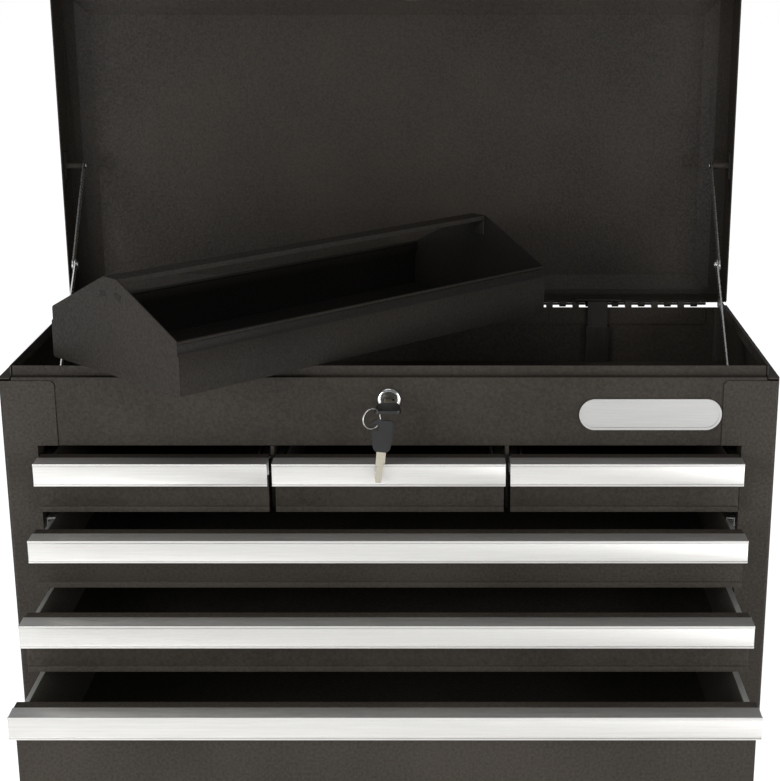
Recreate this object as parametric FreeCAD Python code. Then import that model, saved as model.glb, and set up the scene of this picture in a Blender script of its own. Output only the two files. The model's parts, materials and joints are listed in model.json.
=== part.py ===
"""Machinist tool chest: a steel top chest with six drawers, a hinged lid on folding stays,
a key lock, a lid-worked drawer lock bar and a loose gabled carry tray laid across the open top.

Millimetres. X runs across the chest, the front looks along -Y and Z is up.
The origin is the centre of the flat base. The chest is drawn as it stands in the photograph:
lid open, drawers partly pulled out.
"""
import FreeCAD, Part
import math
import os

os.makedirs("parts", exist_ok=True)

V = FreeCAD.Vector
X_AXIS = V(1, 0, 0)
Y_AXIS = V(0, 1, 0)
Z_AXIS = V(0, 0, 1)

# Case
case_width = 660.0
case_depth = 305.0
sheet = 1.2                  # folded steel of the case and the lid
corner_radius = 3.0
shoulder = 8.5               # width of the shoulder round the top
upstand_height = 8.5
upstand_end_gap = 1.0
post_width = 29.5            # front posts beside the drawers
post_return = 25.0
back_flange = 12.0
base_lip_height = 15.2       # base to the bottom of the drawer opening
fascia_height = 59.5         # shoulder to the top of the drawer opening
fascia_lap = 47.0            # side flange that laps over the fascia
fascia_lap_drop = 2.7
fascia_lap_radius = 4.5
fascia_return = 14.0
overrun = 5.0                # how far every cutter passes its work
lock_sides = 32              # flats on round pieces whose faces are kept few
small_sides = 12
knuckle_sides = 8
bore_sides = 6

# Drawer rows, from the top: three small drawers, then three full-width ones
row_front_height = 48.6
deep_front_height = 86.5
row_gap = 6.7                # open strip above each front
front_gap = 1.2              # round the fronts and the dividers
side_gap = 2.5               # between a front and its post
divider_gap = 5.6            # between two small fronts
small_count = 3
row_pulls = (13.0, 50.0, 101.0, 157.0)

# Drawer bodies
drawer_sheet = 1.0
drawer_rear_room = 20.0      # case depth left behind a closed drawer
front_thickness = 11.0
front_lip = 9.0
side_room = 9.0              # front's end to the drawer's side
side_drop = 1.5
back_drop = 14.5
hem_line = 5.0
hem_groove = 0.6
front_radius = 1.5

# Slides
rail_sheet = 1.2
rail_height = 14.0
rail_depth = 8.0
rail_drop = 13.5             # front's top edge to the slide's centre line
rail_front_gap = 1.0         # closed front to the rail's end
runner_reach = 7.4
runner_play = 0.4

# Handles, one aluminium section
handle_metal = 1.6
handle_proud = 18.8
handle_face = 19.7
handle_leg = 15.0
handle_lip = 3.0
handle_bead = 0.8
handle_slope = 0.8
handle_overhang = 0.8

# Lid and hinge
lid_depth = 44.0
lid_gap = 0.6
lid_open_angle = 90.0
stamp_side = 13.7            # flat border round the lid's raised field
stamp_back = 6.3
stamp_slope = 14.0
stamp_depth = 4.5
barrel_radius = 3.0
barrel_gap = 0.3
hinge_rise = 1.0             # hinge axis above the shoulder
hinge_end = 21.0
hinge_pin_radius = 1.25
hinge_bore_play = 0.3
hinge_leaf = 20.0
knuckle_pitch = 13.2
knuckle_length = 6.6

# Folding stays
stay_inset = 21.3            # case wall to the inner face of the lower link
stay_metal = 1.5
stay_link_gap = 0.5
stay_width = 8.0
stay_pin_radius = 2.0
stay_pin_play = 0.25
stay_head_reach = 136.0      # lid pivot in front of the hinge, lid closed
stay_head_rise = 12.4        # lid pivot above the hinge, lid closed
stay_foot_reach = 165.6
stay_foot_drop = 32.5
stay_lower_length = 130.0
stay_slack = 0.4
knee_radius = 5.5
knee_boss = 1.2
knee_rivet_radius = 3.0
bracket_metal = 1.5
bracket_half = 3.5
bracket_pad_length = 26.0
bracket_pad_height = 16.0

# Lock, key and badge
lock_drop = 19.0
lock_panel_half = 32.0       # half the part of the fascia that carries the lock
lock_ring_radius = 10.0
lock_ring_proud = 3.0
lock_body_radius = 8.5
lock_body_length = 22.0
plug_radius = 6.75
plug_play = 0.25
plug_recess = 0.5
cam_reach = 10.0             # plug's axis to the cam's forward leg
cam_length = 17.0
cam_width = 7.0
cam_metal = 2.0
cam_tip_metal = 1.3
cam_angle = 135.0
cam_gap = 0.6
key_slot_width = 9.0
key_slot_height = 2.2
key_insertion = 9.0          # blade in the plug as the key stands
key_play = 0.2
bow_width = 23.6
bow_length = 27.0
bow_clearance = 1.0          # key pushed home: bow to the plug
bow_metal = 2.8
bow_radius = 5.0
bow_hole_radius = 3.2
bow_hole_side = 8.0
bow_hole_edge = 3.2
ring_radius = 8.5
ring_wire = 1.3              # width and thickness of the flat ring
ring_turn = 36.0
ring_hang_share = 0.65
ring_spare_angle = 25.0      # spare key's place on the ring, from its lowest point
spare_width = 20.0
spare_height = 27.5
spare_metal = 1.8
spare_tilt = 5.0
spare_blade_width = 8.0
spare_blade_length = 27.0
spare_blade_metal = 1.5
spare_hole_edge = 6.5
spare_hole_side = 6.4
spare_hole_radius = 3.2
badge_width = 121.0
badge_height = 27.0
badge_metal = 1.4
badge_rim = 2.0
badge_rim_height = 0.6
badge_end_gap = 0.8          # badge to the side panel's lap
badge_drop = 31.9

# Hasp on the lid, with the foot that the lock's cam holds down
hasp_width = 6.0
hasp_side = 20.0
hasp_metal = 1.2
hasp_gap = 0.8
hasp_over = 3.0
hasp_foot = 12.0
hasp_foot_rise = 5.5         # lock's axis to the top of the foot
hasp_foot_height = 3.0
hasp_pad_width = 20.0
hasp_pad_height = 11.5

# Lid-worked lock bar behind the drawers
bar_centre = 200.0
bar_width = 20.0
bar_metal = 2.0
bar_setback = 3.5            # rear panel to the back of the bar
bar_top_rise = 3.7           # top of the bar above the hinge axis
bar_foot = 30.0
bar_travel = 14.1
hook_width = 10.0
hook_metal = 1.5
hook_clearance = 1.0
guide_play = 0.6
guide_metal = 1.2
guide_drop = 20.5
striker_width = 46.0
striker_nose = 9.6
striker_foot = 12.0
striker_metal = 1.5

# Side handles
grip_plate_length = 140.0
grip_plate_height = 34.0
grip_plate_metal = 2.0
grip_height_share = 0.62
grip_ear_length = 14.0
grip_ear_height = 18.0
grip_ear_proud = 14.0
grip_ear_end = 4.0
grip_wire_radius = 3.5
grip_play = 0.3
grip_drop = 34.0
grip_bend = 9.0
grip_end_play = 1.0

# Carry tray, lying across the open top
tray_length = 435.6
tray_width = 175.0
tray_wall = 44.6             # bottom to the rolled edge
tray_peak = 82.1
tray_sheet = 1.2
tray_rim = 11.0              # upper strip of the long walls, set in by the step
tray_step = 2.0
tray_lip_radius = 1.5
tray_corner = 3.0
tray_turn = 45.8
tray_pitch = 1.3             # rear end up
tray_bank = 0.7              # left side up
tray_centre_x = -73.0
tray_centre_back = 122.1     # tray's middle behind the case front
tray_seat_gap = 0.5
ridge_width = 18.3
ridge_height = 4.5
ridge_sheet = 1.4
ridge_tab_drop = 14.0

# Places that several pieces share
half_width = case_width / 2
front_y = -case_depth / 2
back_y = case_depth / 2
opening_half = half_width - post_width
row_heights = (row_front_height, row_front_height, row_front_height, deep_front_height)
opening_top = base_lip_height + front_gap + sum(row_heights) + len(row_heights) * row_gap
case_height = opening_top + fascia_height     # base to the shoulder that the lid closes on
row_tops = [opening_top - row_gap]
for height in row_heights[:-1]:
    row_tops.append(row_tops[-1] - height - row_gap)
base_lip = row_tops[-1] - deep_front_height - front_gap
drawer_depth = case_depth - drawer_rear_room
stay_plane = half_width - sheet - stay_inset
badge_centre = half_width - fascia_lap - badge_end_gap - badge_width / 2
hinge_y = back_y + barrel_radius - 2 * sheet
hinge_z = case_height + hinge_rise
hinge_half = half_width - hinge_end
floor_under = opening_top + sheet
floor_top = floor_under + sheet
front_half = opening_half - side_gap
small_width = (2 * front_half - (small_count - 1) * divider_gap) / small_count
divider_centres = [
    -front_half + (index + 1) * small_width + (index + 0.5) * divider_gap
    for index in range(small_count - 1)
]
divider_half = divider_gap / 2 - front_gap
lock_z = case_height - lock_drop

made = {}


def box(x0, x1, y0, y1, z0, z1):
    """A block between two corners given in any order."""
    low = V(min(x0, x1), min(y0, y1), min(z0, z1))
    return Part.makeBox(abs(x1 - x0), abs(y1 - y0), abs(z1 - z0), low)


def joined(shapes):
    """One solid from touching shapes."""
    first, rest = shapes[0], shapes[1:]
    return (first.fuse(rest) if rest else first).removeSplitter()


def folded(points, thickness):
    """Outline of a folded sheet: its face follows the points and it lies to their left."""
    normals = []
    for (u0, v0), (u1, v1) in zip(points, points[1:]):
        run = math.hypot(u1 - u0, v1 - v0)
        normals.append(((v0 - v1) / run, (u1 - u0) / run))
    offset = []
    for index, (u, v) in enumerate(points):
        before = normals[max(index - 1, 0)]
        after = normals[min(index, len(normals) - 1)]
        share = thickness / (1 + before[0] * after[0] + before[1] * after[1])
        offset.append((u + share * (before[0] + after[0]), v + share * (before[1] + after[1])))
    return list(points) + offset[::-1]


def extruded(outline, plane, start, end):
    """A prism on an outline in the xy, yz or xz plane, from start to end along the third axis."""
    if plane == "xy":
        corners = [V(u, v, start) for u, v in outline]
        along = Z_AXIS * (end - start)
    elif plane == "yz":
        corners = [V(start, u, v) for u, v in outline]
        along = X_AXIS * (end - start)
    else:
        corners = [V(u, start, v) for u, v in outline]
        along = Y_AXIS * (end - start)
    return Part.Face(Part.makePolygon(corners + corners[:1])).extrude(along)


def rounded(shape, radius, chosen):
    """Fillet the edges that the test picks."""
    edges = [edge for edge in shape.Edges if chosen(edge)]
    return shape.makeFillet(radius, edges) if edges else shape


def upright(edge):
    """True for a straight vertical edge."""
    ends = edge.Vertexes
    if len(ends) != 2:
        return False
    step = ends[1].Point - ends[0].Point
    return abs(step.z) > sheet / 2 and math.hypot(step.x, step.y) < sheet / 100


def flats(middle, axis, radius, sides):
    """Corners of a regular outline square to the axis, with one corner to the front."""
    along = V(axis).normalize()
    across = -Z_AXIS if abs(along.y) > abs(along.x) + abs(along.z) else -Y_AXIS
    across = (across - along * across.dot(along)).normalize()
    other = along.cross(across)
    turns = [2 * math.pi * index / sides for index in range(sides)]
    return [middle + across * (radius * math.cos(turn)) + other * (radius * math.sin(turn)) for turn in turns]


def rod(start, end, radius, sides=0):
    """A cylinder between two points, or a many-sided rod where its faces are kept few."""
    axis = end - start
    if not sides:
        return Part.makeCylinder(radius, axis.Length, start, axis)
    corners = flats(start, axis, radius, sides)
    return Part.Face(Part.makePolygon(corners + corners[:1])).extrude(axis)


def bent_rod(points, radius, sides):
    """A many-sided rod along a line of points, mitred at every point."""
    steps = [(after - before).normalize() for before, after in zip(points, points[1:])]
    loops = [flats(points[0], steps[0], radius, sides)]
    for index, point in enumerate(points[1:]):
        step = steps[index]
        plane = step + steps[min(index + 1, len(steps) - 1)]
        reach = step.dot(plane)
        loops.append([corner + step * ((point - corner).dot(plane) / reach) for corner in loops[-1]])
    faces = [Part.Face(Part.makePolygon(loop + loop[:1])) for loop in (loops[0], loops[-1])]
    for loop, further in zip(loops, loops[1:]):
        for index in range(sides):
            corners = [loop[index - 1], loop[index], further[index], further[index - 1]]
            faces.append(Part.Face(Part.makePolygon(corners + corners[:1])))
    return Part.Solid(Part.Shell(faces))


def mirrored(shape):
    """The same shape on the other side of the middle plane."""
    return shape.mirror(V(0, 0, 0), X_AXIS)


def keep(name, shape):
    """Record a finished piece under its node name."""
    made[name] = shape


# Side panels: wall, front post, flange over the fascia, shoulder and upstand

def side_panel():
    """The right-hand side of the case."""
    wall = [(half_width, front_y), (half_width, back_y - sheet), (half_width - back_flange, back_y - sheet)]
    post = [(opening_half, front_y + post_return), (opening_half, front_y)] + wall
    lower = extruded(folded(post, sheet), "xy", 0, opening_top)
    pan = box(0, half_width - sheet, front_y + sheet, back_y, -overrun, base_lip)
    lower = lower.cut(pan)
    lap = [(half_width - fascia_lap, front_y)] + wall
    upper = extruded(folded(lap, sheet), "xy", opening_top, case_height - fascia_lap_drop)

    def lap_corner(edge):
        middle = edge.CenterOfMass
        return (abs(middle.x - half_width + fascia_lap) < sheet / 2
                and abs(middle.z - case_height + fascia_lap_drop) < sheet / 2
                and abs(middle.y - front_y - sheet / 2) < sheet / 4)

    upper = rounded(upper, fascia_lap_radius, lap_corner)
    brow = [(half_width, opening_top), (half_width, case_height),
            (half_width - shoulder, case_height), (half_width - shoulder, case_height + upstand_height)]
    brow = extruded(folded(brow, sheet), "xz", front_y, back_y - sheet)
    brow = brow.cut(box(0, half_width - shoulder, front_y - overrun, front_y + shoulder,
                        case_height, case_height + upstand_height + overrun))
    panel = joined([lower, upper, brow])
    corner = box(half_width - corner_radius, half_width + overrun, front_y - overrun,
                 front_y + corner_radius, -overrun, case_height + overrun)
    core = Part.makeCylinder(corner_radius, case_height + 2 * overrun,
                             V(half_width - corner_radius, front_y + corner_radius, -overrun))
    return panel.cut(corner.cut(core))


right_side = side_panel()
keep("side_panel_right", right_side)
keep("side_panel_left", mirrored(right_side))

# Front fascia above the drawers, with its shoulder and upstand

fascia_line = [(front_y + shoulder, case_height + upstand_height), (front_y + shoulder, case_height),
               (front_y + sheet, case_height), (front_y + sheet, opening_top),
               (front_y + fascia_return, opening_top)]
fascia_half = half_width - shoulder - sheet - upstand_end_gap
fascia = extruded(folded(fascia_line, sheet), "yz", -fascia_half, fascia_half)
lock_bore = rod(V(0, front_y - overrun, lock_z), V(0, front_y + overrun, lock_z), lock_body_radius,
                lock_sides)
panel_cut = box(-lock_panel_half, lock_panel_half, front_y - overrun, front_y + fascia_return + overrun,
                0, case_height + upstand_height + overrun)
keep("front_fascia", fascia.cut(panel_cut))
keep("lock_panel", fascia.common(panel_cut).cut(lock_bore))

# Back, base and the floor of the top compartment

back_top = hinge_z - barrel_radius - barrel_gap
keep("back_panel", box(-half_width, half_width, back_y - sheet, back_y, 0, back_top))

base_line = [(front_y + sheet, base_lip), (front_y + sheet, 0), (back_y - sheet, 0)]
keep("base_panel", extruded(folded(base_line, sheet), "yz", -half_width + sheet, half_width - sheet))

bar_back = back_y - sheet - bar_setback
bar_front = bar_back - bar_metal
floor = box(-half_width + sheet, half_width - sheet, front_y + 2 * sheet, back_y - 2 * sheet,
            floor_under, floor_top)
bar_slot = box(bar_centre - bar_width / 2 - guide_play, bar_centre + bar_width / 2 + guide_play,
               bar_front - guide_play, back_y, floor_under - overrun, floor_top + overrun)
keep("compartment_floor", floor.cut(bar_slot))

# Dividers between the small drawers

for name, centre in zip(("divider_left", "divider_right"), divider_centres):
    channel = [(centre - divider_half, back_y - sheet), (centre - divider_half, front_y),
               (centre + divider_half, front_y), (centre + divider_half, back_y - sheet)]
    leg = min(drawer_sheet, divider_half / 2)
    keep(name, extruded(folded(channel, leg), "xy", row_tops[0] - row_front_height, opening_top))

# Fixed rails: C sections that open towards the drawer


def rail(wall_x, hand, centre_z):
    """A case rail on the wall at wall_x; hand is +1 when its drawer lies on the -X side."""
    inner_x = wall_x - hand * rail_depth
    low, high = centre_z - rail_height / 2, centre_z + rail_height / 2
    line = [(inner_x, low), (wall_x, low), (wall_x, high), (inner_x, high)]
    if hand < 0:
        line.reverse()
    rail_front = front_y + front_thickness + rail_front_gap
    return extruded(folded(line, rail_sheet), "xz", rail_front, back_y - sheet)


rail_levels = [top - rail_drop for top in row_tops]
outer_rails = [rail(opening_half, 1, level) for level in rail_levels]
keep("rails_right", Part.makeCompound(outer_rails))
keep("rails_left", Part.makeCompound([mirrored(piece) for piece in outer_rails]))
centre_rails = []
for centre in divider_centres:
    centre_rails.append(rail(centre - divider_half, 1, rail_levels[0]))
    centre_rails.append(rail(centre + divider_half, -1, rail_levels[0]))
keep("rails_centre", Part.makeCompound(centre_rails))

# Drawers


def drawer_body(x0, x1, low, high, face_y):
    """A folded drawer: hollow front, bottom, lower back and two sides."""
    front_line = [(face_y + front_thickness, high - front_lip), (face_y + front_thickness, high),
                  (face_y, high), (face_y, low), (face_y + front_thickness, low)]
    front = extruded(folded(front_line, sheet), "yz", x0, x1)
    front = rounded(front, front_radius,
                    lambda edge: abs(edge.CenterOfMass.y - face_y) < sheet / 4
                    and abs(edge.CenterOfMass.z - high) < sheet / 4
                    and edge.Length > front_thickness * 2)
    front = front.cut(box(x0 - overrun, x1 + overrun, face_y - overrun, face_y + hem_groove,
                          low + hem_line, low + hem_line + hem_groove))
    cheeks = [box(x0, x0 + sheet, face_y + sheet, face_y + front_thickness, low + sheet, high - sheet),
              box(x1 - sheet, x1, face_y + sheet, face_y + front_thickness, low + sheet, high - sheet)]
    left, right = x0 + side_room, x1 - side_room
    rear = face_y + drawer_depth
    pan_line = [(face_y + front_thickness, low), (rear, low), (rear, high - back_drop)]
    pan = extruded(folded(pan_line, drawer_sheet), "yz", left, right)
    walls = [box(left, left + drawer_sheet, face_y + front_thickness, rear, low, high - side_drop),
             box(right - drawer_sheet, right, face_y + front_thickness, rear, low, high - side_drop)]
    back_edge = face_y + front_thickness
    inner_skin = box(left, right, back_edge - sheet, back_edge, low, high - sheet)
    return joined([front] + cheeks + [pan, inner_skin] + walls)


def drawer_handle(x0, x1, high, face_y):
    """The pull: leg on the front, flange forward, face down, with a bead along both edges."""
    nose = face_y - handle_proud
    line = [(face_y, high - handle_leg), (face_y, high), (nose, high - handle_slope),
            (nose, high - handle_face), (nose + handle_lip, high - handle_face)]
    ends = (x0 - handle_overhang, x1 + handle_overhang)
    section = extruded(folded(line, handle_metal), "yz", *ends)
    top_bead = box(*ends, nose - handle_bead, nose + handle_metal, high - handle_slope - handle_metal,
                   high - handle_slope + handle_bead)
    low_bead = box(*ends, nose - handle_bead, nose + handle_metal, high - handle_face,
                   high - handle_face + handle_metal)
    return joined([section, top_bead, low_bead])


def drawer_runners(x0, x1, high, face_y):
    """Two C sections on the drawer's sides that run inside the case rails."""
    centre = high - rail_drop
    half = rail_height / 2 - rail_sheet - runner_play
    side = x1 - side_room
    line = [(side + runner_reach, centre + half), (side, centre + half),
            (side, centre - half), (side + runner_reach, centre - half)]
    right = extruded(folded(line, rail_sheet), "xz", face_y + front_thickness, face_y + drawer_depth)
    middle = (x0 + x1) / 2
    left = right.mirror(V(middle, 0, 0), X_AXIS)
    return Part.makeCompound([left, right])


row_names = ("small_drawer", "wide_drawer_upper", "wide_drawer_lower", "deep_drawer")
drawers = []
for row, row_name in enumerate(row_names):
    if row_name == row_names[0]:
        for index, place in enumerate(("left", "middle", "right")):
            start = -front_half + index * (small_width + divider_gap)
            drawers.append((row_name + "_" + place, start, start + small_width, row))
    else:
        drawers.append((row_name, -front_half, front_half, row))

for name, x0, x1, row in drawers:
    high = row_tops[row]
    low = high - row_heights[row]
    face_y = front_y - row_pulls[row]
    keep(name + "_body", drawer_body(x0, x1, low, high, face_y))
    keep(name + "_handle", drawer_handle(x0, x1, high, face_y))
    keep(name + "_runners", drawer_runners(x0, x1, high, face_y))

# Hinge: two leaves with spaced knuckles on one pin

knuckle_count = int(2 * hinge_half / knuckle_pitch)
knuckle_span = (knuckle_count - 1) * knuckle_pitch
knuckle_starts = [-knuckle_span / 2 - knuckle_length / 2 + index * knuckle_pitch
                  for index in range(knuckle_count)]


def hinge_half_leaf(starts, up):
    """One leaf and its knuckles, as with the lid shut; up is +1 for the lid's leaf."""
    leaf_front, leaf_back = back_y - 2 * sheet, back_y - sheet
    edge_z = hinge_z + up * (barrel_radius + barrel_gap)
    pieces = [box(-hinge_half, hinge_half, leaf_front, leaf_back, edge_z, hinge_z + up * hinge_leaf)]
    for start in starts:
        pieces.append(rod(V(start, hinge_y, hinge_z), V(start + knuckle_length, hinge_y, hinge_z),
                          barrel_radius, knuckle_sides))
        pieces.append(box(start, start + knuckle_length, leaf_front, leaf_back, hinge_z, edge_z))
    bore = rod(V(-half_width, hinge_y, hinge_z), V(half_width, hinge_y, hinge_z),
               hinge_pin_radius + hinge_bore_play, bore_sides)
    return joined(pieces).cut(bore)


def opened(shape):
    """Turn a piece drawn with the lid shut to where the open lid carries it."""
    turned = shape.copy()
    turned.rotate(V(0, hinge_y, hinge_z), X_AXIS, -lid_open_angle)
    return turned


keep("hinge_leaf_case", hinge_half_leaf(knuckle_starts[0::2], -1))
keep("hinge_leaf_lid", opened(hinge_half_leaf(knuckle_starts[1::2], 1)))
keep("hinge_pin", rod(V(-hinge_half, hinge_y, hinge_z), V(hinge_half, hinge_y, hinge_z), hinge_pin_radius))

# Lid: a shallow pan with a raised field pressed out of its top


def stamped(drop):
    """The tapered block of the raised field, its wide face drop below the lid's top."""
    foot = case_height + lid_depth - drop
    loops = []
    for slope, z in ((0, foot), (stamp_slope, foot + stamp_depth)):
        x = half_width - stamp_side - slope
        near = front_y + stamp_side + slope
        far = back_y - stamp_back - slope
        corners = [V(-x, near, z), V(x, near, z), V(x, far, z), V(-x, far, z)]
        loops.append(Part.makePolygon(corners + corners[:1]))
    return Part.makeLoft(loops, True, True)


lid_low = case_height + lid_gap
lid_high = case_height + lid_depth
outer = box(-half_width, half_width, front_y, back_y, lid_low, lid_high)
outer = rounded(outer, corner_radius, lambda edge: edge.CenterOfMass.z > lid_low + sheet)
inner = box(-half_width + sheet, half_width - sheet, front_y + sheet, back_y - sheet,
            lid_low - overrun, lid_high - sheet)
lid = outer.cut(inner)
lid = lid.fuse(stamped(0)).cut(stamped(sheet))
back_relief = box(-half_width + sheet, half_width - sheet, back_y - 2 * sheet, back_y + overrun,
                  lid_low - overrun, hinge_z + barrel_radius + barrel_gap)
keep("lid_shell", opened(lid.cut(back_relief).removeSplitter()))

# Folding stays: pivots, then the links between them

stay_foot_y = hinge_y - stay_foot_reach
stay_foot_z = hinge_z - stay_foot_drop
shut_head = V(0, hinge_y - stay_head_reach, hinge_z + stay_head_rise)
open_head = V(0, hinge_y + stay_head_rise, hinge_z + stay_head_reach)
straight = math.hypot(open_head.y - stay_foot_y, open_head.z - stay_foot_z)
stay_upper_length = straight - stay_lower_length + stay_slack


def knee_place():
    """Where the two links meet with the lid open, bent a little downwards."""
    along = (stay_lower_length ** 2 - stay_upper_length ** 2 + straight ** 2) / (2 * straight)
    aside = math.sqrt(max(stay_lower_length ** 2 - along ** 2, 0))
    run_y = (open_head.y - stay_foot_y) / straight
    run_z = (open_head.z - stay_foot_z) / straight
    return (stay_foot_y + along * run_y + aside * run_z, stay_foot_z + along * run_z - aside * run_y)


knee_y, knee_z = knee_place()


def link(inner_x, start, end):
    """A flat bar with round eyes, its face on the plane x = inner_x, drawn between two pivots."""
    (y0, z0), (y1, z1) = start, end
    run = math.hypot(y1 - y0, z1 - z0)
    half = stay_width / 2
    bar = box(inner_x, inner_x + stay_metal, 0, run, -half, half)
    eye_a = rod(V(inner_x, 0, 0), V(inner_x + stay_metal, 0, 0), half, small_sides)
    eye_b = rod(V(inner_x, run, 0), V(inner_x + stay_metal, run, 0), knee_radius, small_sides)
    bore = rod(V(inner_x - overrun, 0, 0), V(inner_x + stay_metal + overrun, 0, 0),
               stay_pin_radius + stay_pin_play, small_sides)
    piece = joined([bar, eye_a, eye_b]).cut(bore)
    piece.rotate(V(0, 0, 0), X_AXIS, math.degrees(math.atan2(z1 - z0, y1 - y0)))
    piece.translate(V(0, y0, z0))
    return piece


upper_plane = stay_plane + stay_metal + stay_link_gap
lower_link = link(stay_plane, (stay_foot_y, stay_foot_z), (knee_y, knee_z))
knee_rivet = rod(V(stay_plane - knee_boss, knee_y, knee_z), V(stay_plane, knee_y, knee_z),
                 knee_rivet_radius, small_sides)
lower_link = joined([lower_link, knee_rivet])
upper_link = link(upper_plane, (open_head.y, open_head.z), (knee_y, knee_z))

wall_x = half_width - sheet
foot_pin = rod(V(stay_plane - knee_boss, stay_foot_y, stay_foot_z),
               V(wall_x, stay_foot_y, stay_foot_z), stay_pin_radius, small_sides)
foot_head = rod(V(stay_plane - knee_boss - knee_boss, stay_foot_y, stay_foot_z),
                V(stay_plane - stay_pin_play, stay_foot_y, stay_foot_z), knee_rivet_radius, small_sides)
foot_boss = rod(V(stay_plane + stay_metal + stay_pin_play, stay_foot_y, stay_foot_z),
                V(wall_x, stay_foot_y, stay_foot_z), bracket_half, small_sides)
foot_pad = box(wall_x - bracket_metal, wall_x, stay_foot_y - bracket_pad_length / 2,
               stay_foot_y + bracket_pad_length / 2, stay_foot_z - bracket_pad_height / 2,
               stay_foot_z + bracket_pad_height / 2)
stay_foot = joined([foot_pin, foot_head, foot_boss, foot_pad])

head_pin = rod(V(upper_plane - knee_boss, shut_head.y, shut_head.z),
               V(wall_x, shut_head.y, shut_head.z), stay_pin_radius, small_sides)
head_cap = rod(V(upper_plane - knee_boss, shut_head.y, shut_head.z),
               V(upper_plane - stay_pin_play, shut_head.y, shut_head.z), knee_rivet_radius, small_sides)
head_boss = rod(V(upper_plane + stay_metal + stay_pin_play, shut_head.y, shut_head.z),
                V(wall_x, shut_head.y, shut_head.z), bracket_half, small_sides)
head_pad = box(wall_x - bracket_metal, wall_x, shut_head.y - bracket_pad_length / 2,
               shut_head.y + bracket_pad_length / 2, shut_head.z - bracket_half,
               shut_head.z + bracket_pad_height - bracket_half)
stay_head = opened(joined([head_pin, head_cap, head_boss, head_pad]))

for name, shape in (("stay_foot", stay_foot), ("stay_lower", lower_link),
                    ("stay_upper", upper_link), ("stay_head", stay_head)):
    keep(name + "_right", shape)
    keep(name + "_left", mirrored(shape))

# Lock: barrel in the fascia, turning plug with its cam

face = front_y + sheet
barrel_front = face - lock_ring_proud
barrel_rear = face + lock_body_length
centre_line = [V(0, y, lock_z) for y in (barrel_front, face, barrel_rear)]
lock_ring = rod(centre_line[0], centre_line[1], lock_ring_radius)
front_rim = [edge for edge in lock_ring.Edges if abs(edge.CenterOfMass.y - barrel_front) < sheet / 4]
lock_ring = lock_ring.makeChamfer(lock_ring_proud / 3, front_rim)
lock_tube = rod(centre_line[1], centre_line[2], lock_body_radius, lock_sides)
plug_bore = rod(V(0, barrel_front - overrun, lock_z), V(0, barrel_rear + overrun, lock_z),
                plug_radius + plug_play, lock_sides)
keep("lock_barrel", joined([lock_ring, lock_tube]).cut(plug_bore))

plug_front = barrel_front + plug_recess
key_slot_depth = key_insertion + row_pulls[0] + key_play
cam_front = barrel_rear + cam_gap
cam_rear = cam_front + cam_metal
upstand_rear = front_y + shoulder + sheet
tip_front = upstand_rear + cam_gap
plug = rod(V(0, plug_front, lock_z), V(0, cam_rear, lock_z), plug_radius, lock_sides)
key_slot = box(-key_slot_width / 2, key_slot_width / 2, plug_front - overrun,
               plug_front + key_slot_depth, lock_z - key_slot_height / 2, lock_z + key_slot_height / 2)
plug = plug.cut(key_slot)
cam_half = cam_width / 2
cam_arm = box(0, cam_reach + cam_metal, cam_front, cam_rear, -cam_half, cam_half)
cam_leg = box(cam_reach, cam_reach + cam_metal, tip_front, cam_rear, -cam_half, cam_half)
cam_tip = box(cam_reach, cam_length, tip_front, tip_front + cam_tip_metal, -cam_half, cam_half)
cam_end = rod(V(cam_length, tip_front, 0), V(cam_length, tip_front + cam_tip_metal, 0), cam_half, small_sides)
cam = joined([cam_arm, cam_leg, cam_tip, cam_end])
cam.rotate(V(0, 0, 0), Y_AXIS, -cam_angle)
cam.translate(V(0, 0, lock_z))
keep("lock_plug", joined([plug, cam]))

# The key lies flat in the plug, as far out as its row of drawers stands open,
# and a ring with a spare key hangs from its bow

bow_rear = plug_front - row_pulls[0] - bow_clearance
bow_front = bow_rear - bow_length
bow = box(-bow_width / 2, bow_width / 2, bow_front, bow_rear, lock_z - bow_metal / 2, lock_z + bow_metal / 2)
bow = rounded(bow, bow_radius, upright)
blade_half = key_slot_width / 2 - key_play
blade_thick = key_slot_height / 2 - key_play
blade = box(-blade_half, blade_half, bow_rear - bow_radius, plug_front + key_insertion,
            lock_z - blade_thick, lock_z + blade_thick)
hole_x = -bow_hole_side
hole_y = bow_front + bow_hole_edge + bow_hole_radius / 2
bow_hole = rod(V(hole_x, hole_y, lock_z - overrun), V(hole_x, hole_y, lock_z + overrun), bow_hole_radius,
               small_sides)
keep("lock_key", joined([bow, blade]).cut(bow_hole))

turn = math.radians(ring_turn)
ring_side = V(math.cos(turn), math.sin(turn), 0)
ring_reach = ring_radius * math.sqrt(1 - ring_hang_share ** 2)
ring_centre = V(hole_x, hole_y, lock_z - ring_radius * ring_hang_share) - ring_side * ring_reach
ring_normal = V(-math.sin(turn), math.cos(turn), 0)
ring_ends = [ring_centre + ring_normal * (side * ring_wire / 2) for side in (-1, 1)]
ring_disc = rod(*ring_ends, ring_radius + ring_wire / 2, lock_sides)
ring_hole = rod(*ring_ends, ring_radius - ring_wire / 2, lock_sides)
keep("key_ring", ring_disc.cut(ring_hole))

hang = math.radians(ring_spare_angle)
spare_pivot = ring_centre + (ring_side * math.sin(hang) - Z_AXIS * math.cos(hang)) * ring_radius
spare_top = spare_pivot.z + spare_hole_edge
spare_x = spare_pivot.x + spare_hole_side
spare_y = spare_pivot.y
spare_bow = box(spare_x - spare_width / 2, spare_x + spare_width / 2, spare_y - spare_metal / 2,
                spare_y + spare_metal / 2, spare_top - spare_height, spare_top)


def along_y(edge):
    """True for a straight edge that runs front to back."""
    ends = edge.Vertexes
    if len(ends) != 2:
        return False
    step = ends[1].Point - ends[0].Point
    return math.hypot(step.x, step.z) < sheet / 100


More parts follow.
